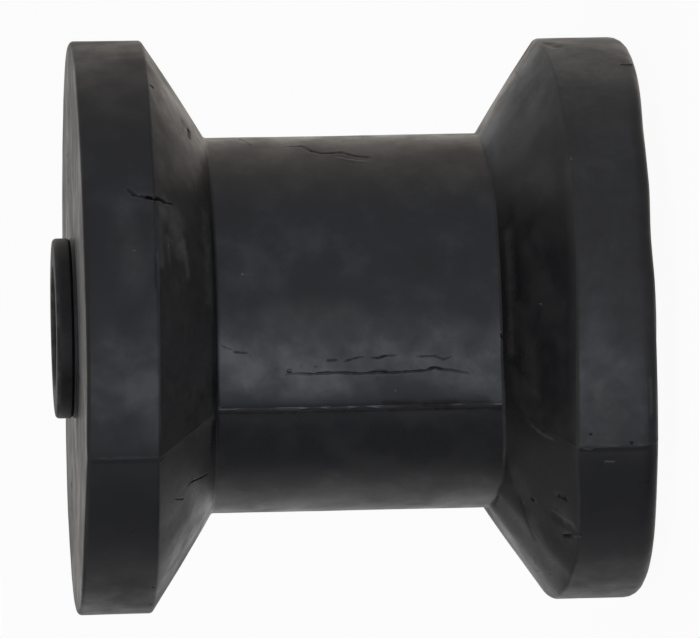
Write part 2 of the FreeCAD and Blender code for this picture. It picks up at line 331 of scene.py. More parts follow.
SCARS = {
    "long crack": Scar("cut", 0.28, 0.09, [
        (286, 374), (296, 373), (311, 373.6), (324, 372.5), (339, 372), (360, 373), (377, 371.6),
        (392, 372), (408, 371), (425, 370), (434, 367), (442, 369), (451, 370), (461, 371.5),
        (467, 372.5)]),
    "crack's left root": Scar("ring", 0.5, 0.12, [(289, 370.5)]),
    "start of the upper crack": Scar("cut", 0.24, 0.06, [(327, 360), (336, 359.5)]),
    "upper crack": Scar("cut", 0.22, 0.06, [(344, 361), (350, 359), (357, 357), (363, 356.5)]),
    "next stretch of it": Scar("cut", 0.22, 0.06, [(371, 357), (378, 357.5), (385, 355.2), (396, 354.6)]),
    "end of the upper crack": Scar("cut", 0.22, 0.06, [
        (416, 356), (435, 355.5), (443, 359), (451, 356)]),
    "knot in the upper crack": Scar("stain", 0.4, 0.6, [(376, 357.5), (380, 356.5), (385, 355.5)]),
    "dot on the left": Scar("stain", 0.35, 0.4, [(301, 365.6)]),
    "dot beside it": Scar("stain", 0.35, 0.5, [(315, 366)]),
    "smudge on the long crack": Scar("stain", 0.5, 0.6, [(374, 370.5), (380, 369), (386, 370.5)]),
    "smudge at its bend": Scar("stain", 0.45, 0.7, [(430, 368), (435, 366.5), (441, 368)]),
    "pale crumb": Scar("crumb", 0.3, 0.15, [(395, 389.6)]),
    "scratch at the left waist": Scar("cut", 0.22, 0.07, [(233, 351), (240, 352.2), (247.5, 352.6)]),
    "pale start of the scratch": Scar("ridge", 0.25, 0.06, [(220, 346), (226, 348.5), (233, 350.5)]),
    "bow-shaped slit": Scar("cut", 0.45, 0.12, [
        (283, 147), (301, 146), (311, 151), (320.5, 153.5), (341, 152.5), (358, 156.8), (367, 157.5)]),
    "smear round the slit": Scar("stain", 1.0, 0.5, [(298, 148), (330, 154), (368, 157)]),
    "lip under the slit": Scar("ridge", 0.5, 0.08, [(336, 157), (348, 160), (358, 161.5), (368, 162)]),
    "short slit beside it": Scar("cut", 0.2, 0.08, [(239.5, 139), (251, 145)]),
    "crumb on the hub": Scar("crumb", 0.25, 0.1, [(242, 274)]),
    "nick at the right waist": Scar("pit", 0.35, 0.3, [(502, 334), (502, 338)]),
    "tear in the upper flange": Scar("tear", 0.28, 0.25, [
        (128, 190), (134, 195), (141, 196), (150, 197.5), (160, 200), (166, 203.5), (172, 205)]),
    "open part of the tear": Scar("pit", 0.5, 0.3, [(145, 197), (153, 198), (160, 200)]),
    "pale patch under the tear": Scar("scuff", 3.6, 0.24, [(166, 210), (174, 218), (178, 250)]),
    "pale patch beside it": Scar("scuff", 1.8, 0.18, [(161, 212), (161, 264)]),
    "grime on the lower flank": Scar("stain", 5.5, 0.45, [(505, 466), (530, 492), (552, 518), (558, 545)]),
    "grime beside it": Scar("stain", 3.0, 0.3, [(512, 480), (522, 505)]),
    "rubbed top of the lower rim": Scar("scuff", 5.0, 0.15, [(585, 44), (604, 43), (620, 47)]),
    "pale streak": Scar("scuff", 0.9, 0.2, [(167, 238), (169, 261)]),
    "second pale streak": Scar("scuff", 1.1, 0.22, [(183, 240), (187, 276)]),
    "edge of the upper waist": Scar("scuff", 1.6, 0.12, [(204, 215), (207, 260), (208, 300)]),
    "crumb in the streak": Scar("crumb", 0.25, 0.12, [(168, 246)]),
    "crumb on the rim": Scar("crumb", 0.3, 0.1, [(134, 251)]),
    "ragged shoulder": Scar("chip", 0.5, 0.25, [(157, 256), (158, 264), (157, 272), (158, 288)]),
    "notch near the top": Scar("pit", 0.4, 0.15, [(150, 85.5), (153, 87.5)]),
    "nick near the waist": Scar("pit", 0.7, 0.25, [(188, 131), (188.4, 138)]),
    "lower tear": Scar("tear", 0.22, 0.2, [(186, 484), (192, 479.5), (200, 476), (210, 471)]),
    "short dash": Scar("cut", 0.22, 0.1, [(175, 497), (183, 497)]),
    "line down the flank": Scar("stain", 0.3, 0.5, [(203, 489), (203, 508), (203, 527)]),
    "lowest pit": Scar("pit", 0.3, 0.1, [(150, 604)]),
    "pit above it": Scar("pit", 0.3, 0.1, [(153, 586)]),
    "stain at the parting line": Scar("stain", 1.0, 0.6, [(384, 402), (420, 403), (454, 402)]),
    "dent in the lower rim": Scar("dent", 1.4, 0.3, [(549, 44), (556, 47)]),
    "nick in the lower rim": Scar("cut", 0.22, 0.3, [(621, 65), (632, 65)]),
    "speck on the lower rim": Scar("crumb", 0.25, 0.1, [(571, 159)]),
    "speck on the flank": Scar("crumb", 0.25, 0.1, [(541, 304)]),
    "rub at the top": Scar("scuff", 1.2, 0.15, [(509, 84), (513, 90)]),
    "rub beside it": Scar("scuff", 3.5, 0.2, [(527, 78), (532, 92), (534, 108)]),
    "thick stretch of flash": Scar("ridge", 0.5, 0.1, [(533, 424), (543, 431), (553, 437)]),
    "pale dash": Scar("ridge", 0.25, 0.15, [(583, 447), (588, 447), (593, 447)]),
    "paler dash": Scar("ridge", 0.25, 0.1, [(605, 460), (614, 460)]),
    "spot above the dashes": Scar("pit", 0.3, 0.15, [(590, 433)]),
    "spot on the right": Scar("pit", 0.3, 0.15, [(631, 441)]),
    "rubbed patch": Scar("scuff", 1.6, 0.11, [(597, 388), (598, 402)]),
    "rubbed lower rim": Scar("scuff", 4.0, 0.07, [(600, 385), (610, 405), (606, 435)]),
    "rubbed corner": Scar("scuff", 0.6, 0.15, [(650, 378), (651, 394), (651, 412)]),
    "chips on the flank": Scar("chip", 0.7, 0.4, [(556, 492), (562, 494), (567, 497)]),
    "pit beside the chips": Scar("pit", 0.35, 0.25, [(533, 498)]),
    "crumb beside the pit": Scar("crumb", 0.25, 0.12, [(525, 501)]),
    "rough patch": Scar("chip", 1.3, 0.35, [(552, 514), (563, 520), (573, 526)]),
    "hole under it": Scar("pit", 0.5, 0.4, [(564, 534), (572, 534)]),
    "flap beside the hole": Scar("ridge", 0.4, 0.2, [(573, 534), (580, 534)]),
    "slit at the lower waist": Scar("stain", 0.35, 0.8, [(498.7, 494.7), (494, 506)]),
    "dark streak": Scar("stain", 0.8, 0.5, [(521, 499), (526, 516), (534, 537)]),
    "line below the streak": Scar("stain", 0.3, 0.6, [(535, 555), (535.5, 563), (536, 571)]),
    "dot below the line": Scar("pit", 0.3, 0.08, [(538, 570)]),
    "dot to its right": Scar("pit", 0.3, 0.1, [(550, 573)]),
    "pit in the end face": Scar("pit", 0.7, 0.3, [(68.5, 182)]),
    "dull band on the hub": Scar("scuff", 4.5, 0.13, [(275, 318), (320, 318), (352, 314)]),
    "dull spot beside it": Scar("scuff", 2.8, 0.13, [(468, 330)]),
    "rubbed upper rim": Scar("scuff", 3.2, 0.07, [(124, 205), (130, 235), (132, 275)]),
    "rubbed lower waist": Scar("scuff", 1.5, 0.11, [(508, 235), (511, 290), (511, 350)]),
    "rubbed lower flank": Scar("scuff", 3.2, 0.09, [(530, 345), (534, 388)]),
    "pit above that": Scar("pit", 0.7, 0.3, [(67.5, 157)]),
    "nick in the end face": Scar("pit", 0.6, 0.3, [(71.5, 484), (72, 487)]),
}
print("There are", len(SCARS), "scars")

# %% [markdown]
# ## Onto the rubber
#
# The camera's line of sight carries each point onto the rubber, so a scar lies on the surface from
# any side. It is sampled every half pixel on the way from point to point, because a straight line
# between two points would cut through the curve. A tree of all the samples then finds the ones
# near a place quickly.

# %% Carry the scars onto the rubber
SAMPLE_STEP = 0.5
surface = BVHTree.FromBMesh(spool)
Sample = namedtuple("Sample", "point along upward share scar")
samples = []


def sample_scar(scar):
    """Add the points along one scar, each with its directions and its share of the way."""
    pixels = [Vector(pixel) for pixel in scar.pixels]
    if len(pixels) == 1:
        pixels.append(pixels[0] + Vector((SAMPLE_STEP, 0)))
    route = []
    for start, end in pairwise(pixels):
        steps = math.ceil((end - start).length / SAMPLE_STEP)
        route += [start.lerp(end, step / steps) for step in range(steps)]
    route.append(pixels[-1])
    hits = [surface.ray_cast(view_place, sight(pixel))[:2] for pixel in route]
    hits = [hit for hit in hits if hit[0] is not None]
    for index, (point, normal) in enumerate(hits):
        before = hits[max(index - 1, 0)][0]
        after = hits[min(index + 1, len(hits) - 1)][0]
        along = (after - before).normalized()
        share = index / max(len(hits) - 1, 1)
        samples.append(Sample(point, along, normal.cross(along), share, scar))


for scar in SCARS.values():
    sample_scar(scar)
sample_tree = KDTree(len(samples))
for index, sample in enumerate(samples):
    sample_tree.insert(sample.point, index)
sample_tree.balance()
print("The scars lie on the rubber as", len(samples), "points")

# %% [markdown]
# ## A finer mesh where the detail is
#
# Only the rubber beside a scar or the bead of flash needs small faces. Each round halves the edges
# of such faces and puts the new vertices back on the round form, because a new vertex starts on the
# straight line between its neighbours. A dict keeps the edges in order, which a set doesn't, so each
# run gives the same mesh.

# %% Divide the faces near the detail
FINEST_FACE = 0.12 * MM
FLASH_FACE = 0.3 * MM
BESIDE_THE_FLASH = 1.2 * MM
FACE_BESIDE_IT = 1.6 * FLASH_FACE
FACES_ACROSS_A_SCAR = 2.0
ROUNDS = 5


def too_coarse(face):
    """Whether a face lies on a scar or on the bead of flash and is too large to show it."""
    middle = face.calc_center_median()
    size = math.sqrt(face.calc_area())
    if middle.xy.length < FLANGE_RADIUS:
        return False
    from_flash = abs(middle.dot(across_parting))
    if from_flash < FLASH_WIDTH and size > FLASH_FACE:
        return True
    if from_flash < BESIDE_THE_FLASH and middle.y < 0 and size > FACE_BESIDE_IT:
        return True
    point, index, distance = sample_tree.find(middle)
    width = samples[index].scar.width * MM
    on_scar = distance < FACES_ACROSS_A_SCAR * width + size / 2
    return on_scar and size > max(width / FACES_ACROSS_A_SCAR, FINEST_FACE)


for step in range(ROUNDS):
    coarse = [face for face in spool.faces if too_coarse(face)]
    edges = dict.fromkeys(edge for face in coarse for edge in face.edges)
    bmesh.ops.subdivide_edges(spool, edges=list(edges), cuts=1, use_grid_fill=True)
    for vert in spool.verts:
        if vert.co.xy.length > FLANGE_RADIUS:
            vert.co.xy *= vert[design_radius] / vert.co.xy.length
    print("Round", step + 1, "divided", len(coarse), "faces, so it has", len(spool.faces))

# %% [markdown]
# ## The form between the scars
#
# Each half of the mould was cut a little deeper than a half circle, so the rubber stands proud
# towards both parting lines and meets there in a faint crease, swollen beside it and rounded at its
# lip by keels. The flash is ragged, because it was torn off and not cut. The flanks bulge a trifle,
# and slow waves run over old rubber. Each is a height that follows from the place alone, so each is
# a small function.

# %% Write a height for each form
CREASE = 0.6 * MM
SWELL = 0.25 * MM
SWELL_REACH = 3.5 * MM
ROUNDED_LIP = 0.22 * MM
LIP_REACH_ABOVE = 2.6 * MM
LIP_REACH_BELOW = 9.0 * MM
FLANK_BULGE = 0.15 * MM
FLASH_TEAR_LENGTH = 4.0 * MM
MEAN_FLASH = 0.4
RAGGEDNESS = 1.8
LEAST_FLASH = 0.05
RUBBED_OFF = 0.85
WAVES = [(0.12 * MM, 22 * MM), (0.025 * MM, 5 * MM)]  # height and length
ZONE_EDGE = 1 * MM
SOFT_EDGE = 2 * MM


def crease_height(radius, across):
    """How far a half of the mould stands out from the round form."""
    sine = min(abs(across) / radius, 1.0)
    cosine_squared = 1 - sine * sine
    round_part = math.sqrt((radius + CREASE) ** 2 - CREASE**2 * cosine_squared)
    return round_part - CREASE * sine - radius


def swell(radius, across):
    """How far the flanges have swollen beside the crease."""
    return SWELL * math.exp(-abs(across) / SWELL_REACH) * between(radius, HUB_RADIUS, LOWER_RIM_RADIUS)


def rounded_lip(place, across):
    """How far keels have rounded the crease's lip, above the worn flank on the camera's side."""
    reach = LIP_REACH_ABOVE if across < 0 else LIP_REACH_BELOW
    facing = between(-place.y, 0, HUB_RADIUS / 2)
    facing *= between(place.z, LOWER_WAIST, LOWER_WAIST + SOFT_EDGE)
    return ROUNDED_LIP * math.exp(-abs(across) / reach) * facing


def up_the_flank(radius):
    """How far up a flank a radius is, from 0 at the waist to 1 at the shoulder."""
    return min(max((radius - HUB_RADIUS) / (LOWER_RIM_RADIUS - HUB_RADIUS), 0.0), 1.0)


def flank_bulge(place, radius):
    """How far a flank stands out from a straight cone."""
    up = up_the_flank(radius) if abs(place.z) < UPPER_SHOULDER else 0.0
    return FLANK_BULGE * 4 * up * (1 - up)


def flash_left(place):
    """The share of the flash that is left, which is least on the worn flank."""
    ragged = MEAN_FLASH + RAGGEDNESS * noise.noise(place / FLASH_TEAR_LENGTH)
    rubbed = between(place.z, LOWER_WAIST, LOWER_WAIST - ZONE_EDGE)
    rubbed *= between(place.z, LOWER_SHOULDER - SOFT_EDGE, LOWER_SHOULDER)
    return min(max(ragged, LEAST_FLASH), 1.0) * (1 - RUBBED_OFF * rubbed)


def slow_waves(place):
    """How far old rubber has crept out of true."""
    return sum(height * noise.noise(place / length) for height, length in WAVES)


print("The crease stands", round(crease_height(HUB_RADIUS, 0) / MM, 2), "mm proud of the hub")

# %% [markdown]
# ## The relief of a scar
#
# A scar changes the height of the rubber and its wear, from -1 for dirt in a groove to 1 for a fresh
# pale scuff, which the finish reads later. Both follow from a few profiles across its line, and
# noise makes them uneven, because nothing tears rubber evenly.

# %% Work out the relief of a scar
# The middle and the reach of two profiles, in widths of the scar.
SHOULDER = (1.6, 1.2)
RING_WALL = (0.8, 0.35)
# Each kind of scar: its profiles, each with its share of the depth and the wear that it gives.
KINDS = {
    "cut": [("groove", -1, -0.55), ("shoulder", 0.15, 0.06)],
    "tear": [("groove", -1, -0.55), ("shoulder", 0, 0.06)],
    "ring": [("wall", -1, -0.7)],
    "ridge": [("groove", 1, 0.15)],
    "pit": [("dome", -1, -0.7)],
    "dent": [("dome", -1, 0)],
    "crumb": [("dome", 1, 0.6)],
    "chip": [("bowl", -0.8, 0)],
}
UNEVEN_LENGTH = 0.9 * MM
UNEVENNESS = 0.5
END_DEPTH = 0.3
END_SHARE = 0.2
RAISED_FLAP = 0.5
SUNK_FLAP = -0.3
FLAP_REACH = 5
CHIP_GRAIN = 1.2 * MM
CHIP_ROUGHNESS = 0.5
CHIP_WEAR = 0.2


def near(value, middle, reach):
    """1 at the middle, and straight down to 0 where the reach ends."""
    return max(1 - abs(value - middle) / reach, 0.0)


def scar_relief(sample, offset):
    """The height and the wear that one scar gives to a place near it."""
    kind, width, strength, pixels = sample.scar
    across = (offset - sample.along * offset.dot(sample.along)).length
    if sample.share in (0.0, 1.0):
        across = offset.length
    uneven = 1 + UNEVENNESS * noise.noise(sample.point / UNEVEN_LENGTH)
    reach = across / (width * MM * uneven)
    bowl = max(1 - reach * reach, 0.0)
    profiles = {
        "groove": near(reach, 0, 1),
        "shoulder": near(reach, *SHOULDER),
        "wall": near(reach, *RING_WALL),
        "bowl": bowl,
        "dome": bowl**2,
    }
    if kind in ("scuff", "stain"):
        return 0.0, strength * profiles["dome"] * (1 if kind == "scuff" else -1)
    depth = strength * MM
    if len(pixels) > 2:
        from_end = between(min(sample.share, 1 - sample.share), 0, END_SHARE)
        depth *= uneven * blend(END_DEPTH, 1, from_end)
    height = sum(share * depth * profiles[name] for name, share, mark in KINDS[kind])
    mark = sum(mark * profiles[name] for name, share, mark in KINDS[kind])
    if kind == "tear":
        flap = RAISED_FLAP if offset.dot(sample.upward) > 0 else SUNK_FLAP
        height += depth * flap * math.exp(-reach / FLAP_REACH) * min(reach, 1.0)
    if kind == "chip":
        rough = CHIP_ROUGHNESS * bowl * noise.noise((sample.point + offset) / CHIP_GRAIN)
        height -= depth * rough
        mark += CHIP_WEAR * rough
    return height, mark


print("There are", len(KINDS), "kinds of scar with a depth")

# %% [markdown]
# ## Painted light and shade, dust and rub
#
# Use leaves more than scars, and the same wear also paints light and shade: films that are partly
# dust and partly painted light on the flanges, painted shade in the waist and under the flash,
# painted light under the flash and towards the upper flank's shoulder, and end faces rubbed grey by
# the bracket, which is partly a painted reflection. A film has a zone, a strength, and a start and a
# full height, in millimetres towards the top of the picture. The last film in the list only ends the
# one before it.

# %% Work out the dust, the dirt and the rub
Film = namedtuple("Film", "zone wear start full")
# Each film is partly dust and partly painted light: paler towards the top of the picture on the rims and
# the lower flange, towards the bottom on the lower flank, and in a band on the upper flank.
DUST_AND_LIGHT_FILMS = [
    Film("all over", 0.08, 38, 48), Film("lower rim", 0.08, 38, 48), Film("lower rim", 0.07, -24, -21),
    Film("lower flange", 0.11, 36, 42), Film("lower flank", 0.2, -30, -36),
    Film("upper flank", 0.1, -22, -16), Film("upper flank", -0.1, 16, 28),
]
# The end faces' grey is partly rub from the bracket and partly a painted reflection of their grazing
# light.
END_RUB_AND_PAINTED_REFLECTION = 0.65
LEVEL_ENOUGH = (0.8, 0.98)
FLANK_SIDES = (20 * MM, 34 * MM)
# Painted shade near the upper flank's waist, and rub with painted light near its shoulder.
FLANK_SHADE_AT_THE_WAIST = -0.144
FLANK_RUB_AND_LIGHT_AT_THE_SHOULDER = 0.216
# Painted shade in the corner between the hub and the flank.
PAINTED_SHADE_IN_THE_WAIST = 0.3
WAIST_SHADE_WIDTH = 0.3 * MM
# Painted light on the upper flank below the flash, on the camera's side.
PAINTED_LIGHT_UNDER_THE_FLASH = 0.14
PAINTED_LIGHT_REACH = 12 * MM
# Painted shade along the lower side of the flash.
PAINTED_SHADE_UNDER_THE_FLASH = 0.9
FLASH_SHADE_PLACE = 0.65 * MM
FLASH_SHADE_REACH = 0.45 * MM
LESS_ON_THE_RIMS = 0.5
RIM_START = 0.97
ON_THE_HUB = HUB_RADIUS + 0.01 * MM


def painted_shade_under_the_flash(radius, across):
    """The painted shade along the lower side of the flash, most on the hub and none on the flanks."""
    zone = 1.0 if radius < ON_THE_HUB else LESS_ON_THE_RIMS * between(up_the_flank(radius), RIM_START, 1)
    return PAINTED_SHADE_UNDER_THE_FLASH * near(across, FLASH_SHADE_PLACE, FLASH_SHADE_REACH) * zone


def use_wear_and_painted_light(place, normal, radius, across):
    """The wear that no scar explains, most of it painted: above 0 for painted light, dust and rub, below 0
    for painted shade.
    """
    lower_rim = between(place.z, LOWER_SHOULDER, LOWER_SHOULDER - SOFT_EDGE)
    lower_flange = between(place.z, LOWER_WAIST, LOWER_WAIST - SOFT_EDGE)
    upper_flank = between(place.z, UPPER_WAIST, UPPER_WAIST + ZONE_EDGE) * (place.z < UPPER_SHOULDER)
    zones = {
        "all over": 1.0,
        "lower rim": lower_rim,
        "lower flange": lower_flange,
        "lower flank": lower_flange - lower_rim,
        "upper flank": upper_flank,
    }
    # Grey on the level end faces: rub, and a painted reflection of their grazing light.
    end_face = between(abs(place.z), END - ZONE_EDGE, END - ZONE_EDGE / 2)
    mark = END_RUB_AND_PAINTED_REFLECTION * between(abs(normal.z), *LEVEL_ENOUGH) * end_face
    # Films of dust and painted light.
    for film in DUST_AND_LIGHT_FILMS:
        mark += film.wear * zones[film.zone] * between(place.x, film.start * MM, film.full * MM)
    # Painted shade towards the upper flank's waist, rub and painted light towards its shoulder.
    flank_rub_light_and_shade = blend(FLANK_SHADE_AT_THE_WAIST, FLANK_RUB_AND_LIGHT_AT_THE_SHOULDER, up_the_flank(radius))
    mark += flank_rub_light_and_shade * upper_flank * between(abs(place.x), *FLANK_SIDES)
    # Painted shade in the waist's corner.
    mark -= PAINTED_SHADE_IN_THE_WAIST * near(radius, HUB_RADIUS + WAIST_SHADE_WIDTH, WAIST_SHADE_WIDTH)
    # Painted shade under the flash.
    if place.y < 0:
        mark -= painted_shade_under_the_flash(radius, across) * (1 - end_face)
    # Painted light below the flash on the upper flank.
    if place.y < 0 and across > 0:
        mark += PAINTED_LIGHT_UNDER_THE_FLASH * upper_flank * math.exp(-across / PAINTED_LIGHT_REACH)
    return mark


print("There are", len(DUST_AND_LIGHT_FILMS) - 1, "films of dust and painted light")

# %% [markdown]
# ## Press it all into the rubber
#
# One pass over the vertices adds everything up. Waves, bulge and scars move a vertex along its
# normal, and crease, swelling and flash move it away from the axis. The boss round the bush stays as
# it was moulded.

# %% Move each vertex and note its wear
SCAR_REACH = 8 * MM
FLASH_HEIGHT = 0.24 * MM
# A painted highlight: the flash's crest is made paler.
FLASH_PAINTED_HIGHLIGHT = 0.06
KEPT_ROUND = FLANGE_RADIUS + 0.5 * MM


def nearest_samples(place):
    """The nearest sample of each scar that comes close to a place."""
    nearest = {}
    for point, index, distance in sample_tree.find_range(place, SCAR_REACH):
        sample = samples[index]
        held = nearest.get(id(sample.scar))
        if held is None or distance < held[0]:
            nearest[id(sample.scar)] = (distance, sample)
    return [sample for distance, sample in nearest.values()]


# The wear holds the scars' marks, dust and rub, and also painted light and shade.
wear = spool.verts.layers.float.new("wear")
spool.normal_update()
for vert in spool.verts:
    radius = vert[design_radius]
    if radius < KEPT_ROUND:
        continue
    across = vert.co.dot(across_parting)
    free = between(radius, FLANGE_RADIUS, HUB_RADIUS)
    outward = Vector((vert.co.x, vert.co.y, 0)).normalized()
    flash = vert[crest] * flash_left(vert.co)
    height = slow_waves(vert.co) * free - rounded_lip(vert.co, across) + flank_bulge(vert.co, radius)
    mark = use_wear_and_painted_light(vert.co, vert.normal, radius, across)
    for sample in nearest_samples(vert.co):
        scar_height, scar_mark = scar_relief(sample, vert.co - sample.point)
        height += scar_height
        mark += scar_mark
    proud = free * (crease_height(radius, across) + flash * FLASH_HEIGHT) + swell(radius, across)
    vert.co += vert.normal * height
    vert.co += outward * proud
    # The wear also takes a painted highlight on the flash's crest.
    vert[wear] = min(max(mark + FLASH_PAINTED_HIGHLIGHT * flash, -1.0), 1.0)
print("The scarred rubber has", len(spool.verts), "vertices")

# %% [markdown]
# ## Finish the mesh and show it
#
# Every piece sits at the origin with its place in its mesh and rides on the frame's body.

# %% Turn a mesh into a piece of the roller
SHARP_ANGLE = math.radians(40)


def add_piece(mesh, name, stands_for):
    """Link a mesh as a piece that stands for one node of the frame."""
    data = bpy.data.meshes.new(name)
    mesh.to_mesh(data)
    mesh.free()
    for face in data.polygons:
        face.use_smooth = True
    data.set_sharp_from_angle(angle=SHARP_ANGLE)
    piece = bpy.data.objects.new(name, data)
    bpy.context.scene.collection.objects.link(piece)
    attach(piece, "root")
    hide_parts(stands_for)
    return piece


rubber = add_piece(spool, "scarred_rubber", "rubber_roller")
print("As triangles it has", sum(len(face.vertices) - 2 for face in rubber.data.polygons))

# %% [markdown]
# ## The bushes
#
# A bush of dark nylon, turned on a lathe, is pressed into each end of the bore. Its flange keeps the
# rubber off the bracket. Both are one form, so the same function turns them, and the lower one is
# turned over by half a turn.

# %% Turn the bushes
BORE_RADIUS = 10.5 * MM
FLANGE_THICKNESS = 3.0 * MM
FLANGE_BACK = BUSH_HIGH - FLANGE_THICKNESS
FLANGE_CHAMFER = 0.4 * MM
FLANGE_ROUNDING = 0.7 * MM
MOUTH_CHAMFER = 0.6 * MM
LEAD_IN_WIDTH = 0.5 * MM
LEAD_IN_LENGTH = 1.0 * MM
LEAD_IN_ROUNDING = 0.2 * MM
SHARP_ROUNDING = 0.1 * MM
BUSH_STEPS = 160
BUSH_EDGE = 0.8 * MM
BUSH_CORNERS = [
    (BORE_RADIUS, BUSH_LOW, SHARP_ROUNDING),
    (BUSH_RADIUS - LEAD_IN_WIDTH, BUSH_LOW, LEAD_IN_ROUNDING),
    (BUSH_RADIUS, BUSH_LOW + LEAD_IN_LENGTH, LEAD_IN_ROUNDING),
    (BUSH_RADIUS, FLANGE_BACK, SHARP_ROUNDING),
    (FLANGE_RADIUS - FLANGE_CHAMFER, FLANGE_BACK, SHARP_ROUNDING),
    (FLANGE_RADIUS, FLANGE_BACK + FLANGE_CHAMFER, SHARP_ROUNDING),
    (FLANGE_RADIUS, BUSH_HIGH, FLANGE_ROUNDING),
    (BORE_RADIUS + MOUTH_CHAMFER, BUSH_HIGH, SHARP_ROUNDING),
    (BORE_RADIUS, BUSH_HIGH - MOUTH_CHAMFER, SHARP_ROUNDING),
]

bushes = []
for name, stands_for, half_turns in (
    ("upper_nylon_bush", "upper_bush", 0),
    ("lower_nylon_bush", "lower_bush", 1),
):
    bush = turned(BUSH_CORNERS, BUSH_STEPS, BUSH_EDGE)
    turn = Matrix.Rotation(half_turns * math.pi, 3, "X")
    bmesh.ops.rotate(bush, verts=bush.verts, matrix=turn)
    bushes.append(add_piece(bush, name, stands_for))
print("Each bush has", len(bushes[0].data.polygons), "faces")

# %% [markdown]
# ## Helpers for the finishes
#
# A finish is a tree of nodes. Adding a node by hand takes a line for the node, one for each
# setting and one for each link, so one small function does all of that. Colours are written as the
# sRGB hex values that a picture editor shows, and a shader takes linear light, so another function
# turns one into the other.

# %% Write the helpers
def add_node(tree, kind, inputs=None, **settings):
    """Add a shader node, set its properties, and fill its inputs with values or links."""
    node = tree.nodes.new("ShaderNode" + kind)
    for name, value in settings.items():
        setattr(node, name, value)
    for name, value in (inputs or {}).items():
        if isinstance(value, bpy.types.NodeSocket):
            tree.links.new(value, node.inputs[name])
        else:
            node.inputs[name].default_value = value
    return node


def linear(hex_colour):
    """A colour written as sRGB hex, as the linear values that a shader takes."""
    channels = []
    for start in (1, 3, 5):
        value = int(hex_colour[start : start + 2], 16) / 255
        channels.append(value / 12.92 if value <= 0.04045 else ((value + 0.055) / 1.055) ** 2.4)
    return (*channels, 1.0)


def new_material(name):
    """An empty material and its node tree."""
    material = bpy.data.materials.new(name)
    material.use_nodes = True
    material.node_tree.nodes.clear()
    return material, material.node_tree


def set_stops(node, stops):
    """Give a colour ramp its stops, each a position and a colour."""
    ramp = node.color_ramp
    while len(ramp.elements) > 1:
        ramp.elements.remove(ramp.elements[-1])
    for index, (position, colour) in enumerate(stops):
        stop = ramp.elements[0] if index == 0 else ramp.elements.new(position)
        stop.position = position
        stop.color = colour


def place_on_piece(tree):
    """A point's Object coordinates, and how far along Z it is from the roller's middle."""
    place = add_node(tree, "TexCoord").outputs["Object"]
    heights = add_node(tree, "SeparateXYZ", {"Vector": place})
    from_middle = add_node(tree, "Math", {0: heights.outputs["Z"]}, operation="ABSOLUTE")
    return place, from_middle.outputs["Value"]


print("#808080 is", round(linear("#808080")[0], 3), "as linear light")

# %% [markdown]
# ## The rubber's patterns
#
# Natural rubber filled with carbon black is nearly as dark as anything gets: under one hundredth of
# the light comes back from inside it. So what the eye sees is its gloss, and its gloss is never
# even. Three noises carry that. Patches as wide as a thumb are where hands and keels polished it or
# dust stayed, blotches of a millimetre or two break up each scuff, and a grain of a third of a
# millimetre is the skin that the mould's steel left. An image texture could do the same, but noise
# on Object coordinates has no seam and no stretch.

# %% Lay out the rubber's patterns
PATCH_SIZE = 9 * MM
BLOTCH_SIZE = 1.6 * MM
GRAIN_SIZE = 0.35 * MM

# Moulded natural rubber, black, under old keels: a soft sheen on the hub, duller and greyer rims.
rubber_material, tree = new_material("moulded_natural_rubber")
place, from_middle = place_on_piece(tree)
patches, blotches, grain = (
    add_node(
        tree, "TexNoise", {"Vector": place, "Scale": 1 / size, "Detail": detail, "Roughness": 0.6}
    ).outputs["Fac"]
    for size, detail in ((PATCH_SIZE, 5.0), (BLOTCH_SIZE, 4.0), (GRAIN_SIZE, 3.0))
)
off_hub = add_node(
    tree, "MapRange", {"Value": from_middle, "From Min": UPPER_WAIST, "From Max": UPPER_SHOULDER}
).outputs["Result"]
print("Patches", PATCH_SIZE / MM, "mm, blotches", BLOTCH_SIZE / MM, "mm, grain", GRAIN_SIZE / MM, "mm")

# %% [markdown]
# ## The rubber's colour
#
# The hub is the blackest, because the keel wipes it, and the rims are a little greyer. Dust sits in
# some of the patches. Then comes the wear that each vertex got: a fresh scuff has torn the skin and
# is pale, and a groove holds brown dirt. The same pale colour also paints light, and the same dark
# colour paints shade, where the wear carries painted light and shade. The blotches break the wear up,
# so a scuff isn't a clean smear.

# %% Colour the rubber
HUB_BLACK = "#131315"
RIM_GREY = "#212123"
RUBBER_DUST = "#303031"
# The fresh colour also paints light and the dirt colour also paints shade, where the wear holds painted
# light and shade.
PALE_SCUFF_AND_PAINTED_LIGHT = "#7d7c7a"
DIRT_AND_PAINTED_SHADE = "#1a1613"

plain = add_node(tree, "Mix", {0: off_hub, 6: linear(HUB_BLACK), 7: linear(RIM_GREY)}, data_type="RGBA")
dust_share = add_node(
    tree, "MapRange", {"Value": patches, "From Min": 0.45, "From Max": 0.7, "To Max": 0.6},
    interpolation_type="SMOOTHSTEP",
)
dusty = add_node(
    tree, "Mix", {0: dust_share.outputs["Result"], 6: plain.outputs[2], 7: linear(RUBBER_DUST)},
    data_type="RGBA",
)
wear_and_painted_light = add_node(tree, "Attribute", attribute_name="wear")
broken = add_node(
    tree,
    "MapRange",
    {"Value": blotches, "From Min": 0.35, "From Max": 0.65, "To Min": 0.7, "To Max": 1.2},
)
patchy_wear_and_painted_light = add_node(
    tree, "Math", {0: wear_and_painted_light.outputs["Fac"], 1: broken.outputs["Result"]}, operation="MULTIPLY"
)
colour = dusty
for full_wear, mark_colour in ((1.0, PALE_SCUFF_AND_PAINTED_LIGHT), (-1.0, DIRT_AND_PAINTED_SHADE)):
    mark_share = add_node(
        tree, "MapRange", {"Value": patchy_wear_and_painted_light.outputs["Value"], "From Max": full_wear}
    )
    colour = add_node(
        tree, "Mix", {0: mark_share.outputs["Result"], 6: colour.outputs[2], 7: linear(mark_colour)},
        data_type="RGBA",
    )
